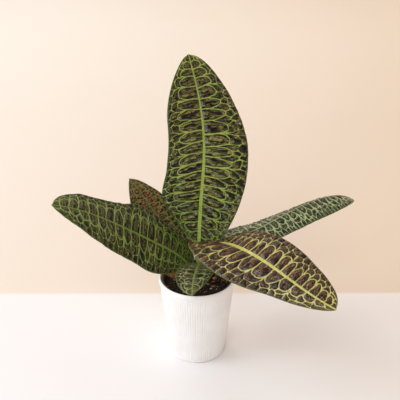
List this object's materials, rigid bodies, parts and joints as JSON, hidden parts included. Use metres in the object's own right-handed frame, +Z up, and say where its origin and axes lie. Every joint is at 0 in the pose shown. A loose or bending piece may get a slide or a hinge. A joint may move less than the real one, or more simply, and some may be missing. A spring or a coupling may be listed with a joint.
{
  "type": "potted labisia",
  "caption": "House plant with broad net-veined leaves on a short crown, rooted in soil in a thin dark nursery pot that stands in a tapered, finely ribbed white pot.",
  "frame": {"origin": "middle of the white pot's underside, on the ground", "axes": "+Z up; -Y towards the side where the small young leaf hangs over the rim; +X towards the two long leaves on that side's right"},
  "size_m": [0.3523, 0.2758, 0.3441],
  "materials": {
    "pot": "satin white with fine upright ribs",
    "nursery_pot": "dark taupe, matte",
    "soil": "near-black potting mix with bark bits",
    "stem": "green-brown, with leaf scars",
    "leaf_upright": "dark quilted cells between pale green veins, semi-gloss",
    "leaf_left": "dark green-brown cells between green veins, semi-gloss",
    "leaf_back_left": "red-brown cells between olive veins, semi-gloss",
    "leaf_right": "grey-green cells between pale green veins, semi-gloss",
    "leaf_front_right": "dark brown cells between yellow-green veins, semi-gloss",
    "leaf_front_small": "brown-grey cells between grey-green veins, semi-gloss",
    "old_leaf": "dry brown"
  },
  "bodies": {
    "root": {"pot": "pot", "nursery_pot": "nursery_pot", "soil": "soil", "stem": "stem", "leaf_upright": "leaf_upright", "leaf_left": "leaf_left", "leaf_back_left": "leaf_back_left", "leaf_right": "leaf_right", "leaf_front_right": "leaf_front_right", "leaf_front_small": "leaf_front_small", "old_leaf": "old_leaf"}
  },
  "joints": []
}
